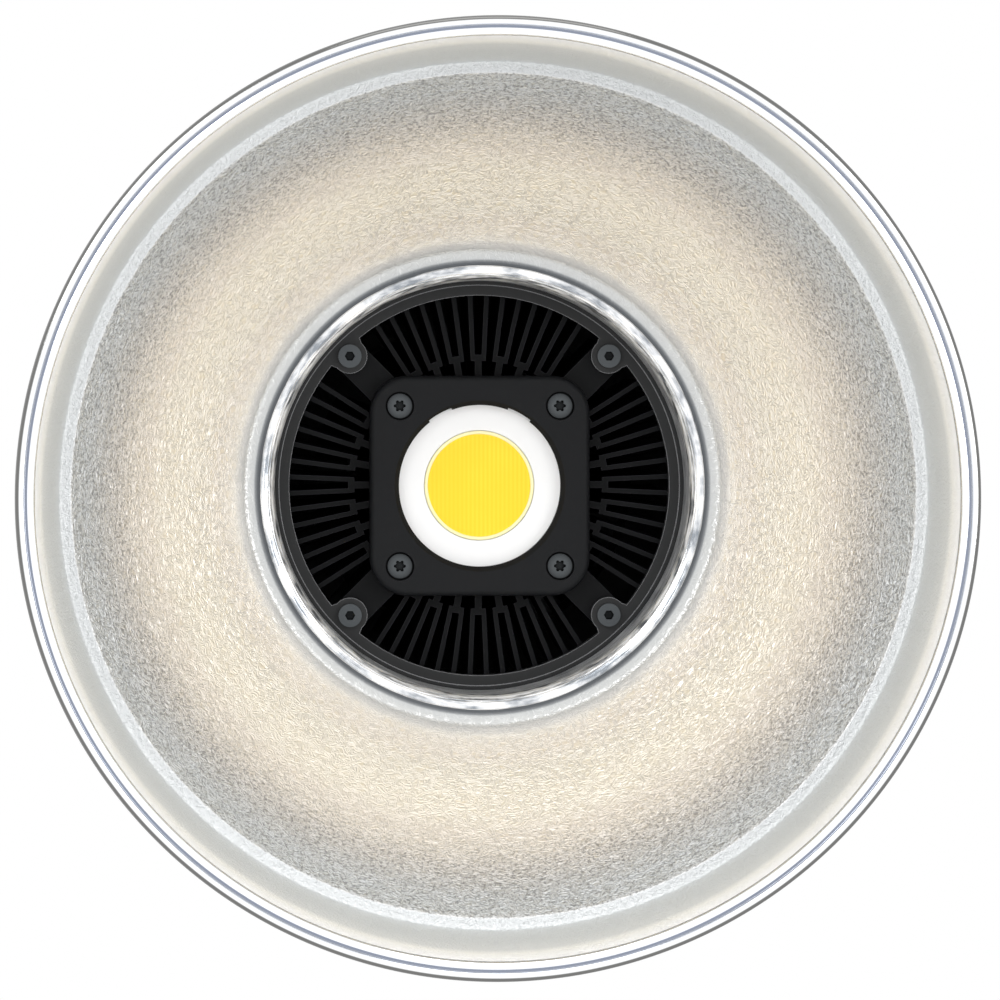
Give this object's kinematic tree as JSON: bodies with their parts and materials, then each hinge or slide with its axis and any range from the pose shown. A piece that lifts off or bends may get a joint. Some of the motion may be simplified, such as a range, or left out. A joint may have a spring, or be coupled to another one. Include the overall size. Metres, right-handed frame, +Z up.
{
  "type": "led studio spotlight",
  "caption": "Studio spotlight with a chip-on-board light source in an open pebbled reflector, finned cooling, rear controls, carry handle and a tilting stand socket.",
  "frame": {"origin": "centre of the stand socket's mouth, at the bottom end of the socket's bore", "axes": "+Z up along the stand socket; -Y is the way the light shines, along the optical axis 110 mm above the origin; +X is to the right as seen from in front"},
  "size_m": [0.1974, 0.2325, 0.2087],
  "materials": {
    "reflector_aluminium": "bright satin, pebbled inside",
    "polished_aluminium": "polished",
    "black_casting": "satin black powder coat",
    "spring_steel": "tempered strip",
    "black_anodised": "matt black anodised",
    "dark_screws": "black zinc",
    "black_cover": "matt",
    "thermal_pad": "matt",
    "ceramic_white": "satin",
    "phosphor": "smooth silicone with phosphor, unlit",
    "dam_silicone": "smooth silicone",
    "white_plastic": "matt white",
    "housing_plastic": "fine textured",
    "fan_plastic": "moulded",
    "panel_plastic": "fine textured",
    "display_window": "smoked, glossy",
    "display_dark": "glossy",
    "circuit_board": "solder mask",
    "component_black": "moulded",
    "plain_steel": "zinc plated",
    "knob_plastic": "matt with fine texture",
    "button_rubber": "matt silicone",
    "rocker_plastic": "glossy",
    "grip_rubber": "matt ribbed",
    "friction_fibre": "fibre",
    "brass_pad": "turned"
  },
  "bodies": {
    "stand": {"stand_socket": "black_casting", "tilt_bolt": "plain_steel", "friction_washers": "friction_fibre"},
    "reflector": {"reflector_dish": "reflector_aluminium", "reflector_collar": "polished_aluminium"},
    "fan": {"fan_rotor": "fan_plastic"},
    "brightness_dial": {"brightness_knob": "knob_plastic", "brightness_shaft": "plain_steel"},
    "colour_dial": {"colour_knob": "knob_plastic", "colour_shaft": "plain_steel"},
    "mode_button": {"mode_button": "button_rubber"},
    "group_button": {"group_button": "button_rubber"},
    "effects_button": {"effects_button": "button_rubber"},
    "power_rocker": {"power_rocker": "rocker_plastic"},
    "tilt_washer": {"tilt_thrust_washer": "plain_steel"},
    "tilt_knob": {"tilt_knob": "knob_plastic"},
    "stand_pad": {"stand_lock_pad": "brass_pad"},
    "stand_lock": {"stand_lock_screw": "plain_steel", "stand_lock_knob": "knob_plastic"},
    "umbrella_pad": {"umbrella_pad": "brass_pad"},
    "umbrella_lock": {"umbrella_screw": "plain_steel", "umbrella_knob": "knob_plastic"},
    "head": {"bayonet_mount": "black_casting", "detent_spring": "spring_steel", "bezel_ring": "black_anodised", "bezel_screws": "dark_screws", "heat_sink": "black_anodised", "led_cover": "black_cover", "cover_screws": "dark_screws", "thermal_pad": "thermal_pad", "led_board": "ceramic_white", "led_phosphor": "phosphor", "phosphor_dam": "dam_silicone", "white_surround": "white_plastic", "upper_shell": "housing_plastic", "lower_shell": "housing_plastic", "shell_screws": "dark_screws", "fan_plate": "housing_plastic", "fan_frame": "fan_plastic", "fan_screws": "dark_screws", "rear_panel": "panel_plastic", "panel_screws": "dark_screws", "display_window": "display_window", "display_module": "display_dark", "control_board": "circuit_board", "board_screws": "dark_screws", "driver_parts": "component_black", "encoders": "plain_steel", "tact_switches": "component_black", "power_switch_frame": "component_black", "dc_jack": "component_black", "usb_socket": "plain_steel", "carry_handle": "housing_plastic", "handle_grip": "grip_rubber", "handle_screws": "dark_screws", "tilt_shoe": "black_casting", "shoe_backplate": "plain_steel", "shoe_screws": "dark_screws"}
  },
  "joints": [
    {"name": "head_tilt", "type": "hinge", "parent": "stand", "child": "head", "pos_m": [0, 0, 0.04], "axis": [-1, 0, 0], "range_deg": [-70, 90]},
    {"name": "reflector_turn", "type": "hinge", "parent": "head", "child": "reflector", "pos_m": [0, 0, 0.11], "axis": [0, -1, 0], "range_deg": [0, 30], "deforming": ["detent_spring"]},
    {"name": "fan_spin", "type": "hinge", "parent": "head", "child": "fan", "pos_m": [0, 0.04, 0.11], "axis": [0, -1, 0], "continuous": true},
    {"name": "brightness_turn", "type": "hinge", "parent": "head", "child": "brightness_dial", "pos_m": [-0.028, 0.085, 0.101], "axis": [0, 1, 0], "continuous": true},
    {"name": "colour_turn", "type": "hinge", "parent": "head", "child": "colour_dial", "pos_m": [0.028, 0.085, 0.101], "axis": [0, 1, 0], "continuous": true},
    {"name": "mode_button_press", "type": "slide", "parent": "head", "child": "mode_button", "axis": [0, -1, 0], "range_m": [0, 0.0005], "stiffness_N_per_m": 1500, "springref_m": -0.0005},
    {"name": "group_button_press", "type": "slide", "parent": "head", "child": "group_button", "axis": [0, -1, 0], "range_m": [0, 0.0005], "stiffness_N_per_m": 1500, "springref_m": -0.0005},
    {"name": "effects_button_press", "type": "slide", "parent": "head", "child": "effects_button", "axis": [0, -1, 0], "range_m": [0, 0.0005], "stiffness_N_per_m": 1500, "springref_m": -0.0005},
    {"name": "power_rock", "type": "hinge", "parent": "head", "child": "power_rocker", "pos_m": [-0.02, 0.079, 0.076], "axis": [0, 0, -1], "range_deg": [0, 16]},
    {"name": "tilt_clamp_travel", "type": "slide", "parent": "stand", "child": "tilt_washer", "axis": [-1, 0, 0], "range_m": [-0.00025, 0.001]},
    {"name": "tilt_clamp_turn", "type": "hinge", "parent": "tilt_washer", "child": "tilt_knob", "pos_m": [-0.0147, 0, 0.04], "axis": [-1, 0, 0], "range_deg": [-90, 360]},
    {"name": "stand_clamp_travel", "type": "slide", "parent": "stand", "child": "stand_pad", "axis": [-1, 0, 0], "range_m": [0, 0.00125]},
    {"name": "stand_clamp_turn", "type": "hinge", "parent": "stand_pad", "child": "stand_lock", "pos_m": [0.0112, 0, 0.016], "axis": [-1, 0, 0], "range_deg": [0, 360]},
    {"name": "umbrella_clamp_travel", "type": "slide", "parent": "head", "child": "umbrella_pad", "axis": [-1, 0, 0], "range_m": [0, 0.0008]},
    {"name": "umbrella_clamp_turn", "type": "hinge", "parent": "umbrella_pad", "child": "umbrella_lock", "pos_m": [0.0284, 0, 0.0465], "axis": [-1, 0, 0], "range_deg": [0, 360]}
  ],
  "couplings": [
    {"joint": "tilt_clamp_turn", "follows": "tilt_clamp_travel", "rad_per_m": 6283.2},
    {"joint": "stand_clamp_turn", "follows": "stand_clamp_travel", "rad_per_m": 5026.5},
    {"joint": "umbrella_clamp_turn", "follows": "umbrella_clamp_travel", "rad_per_m": 7854}
  ]
}
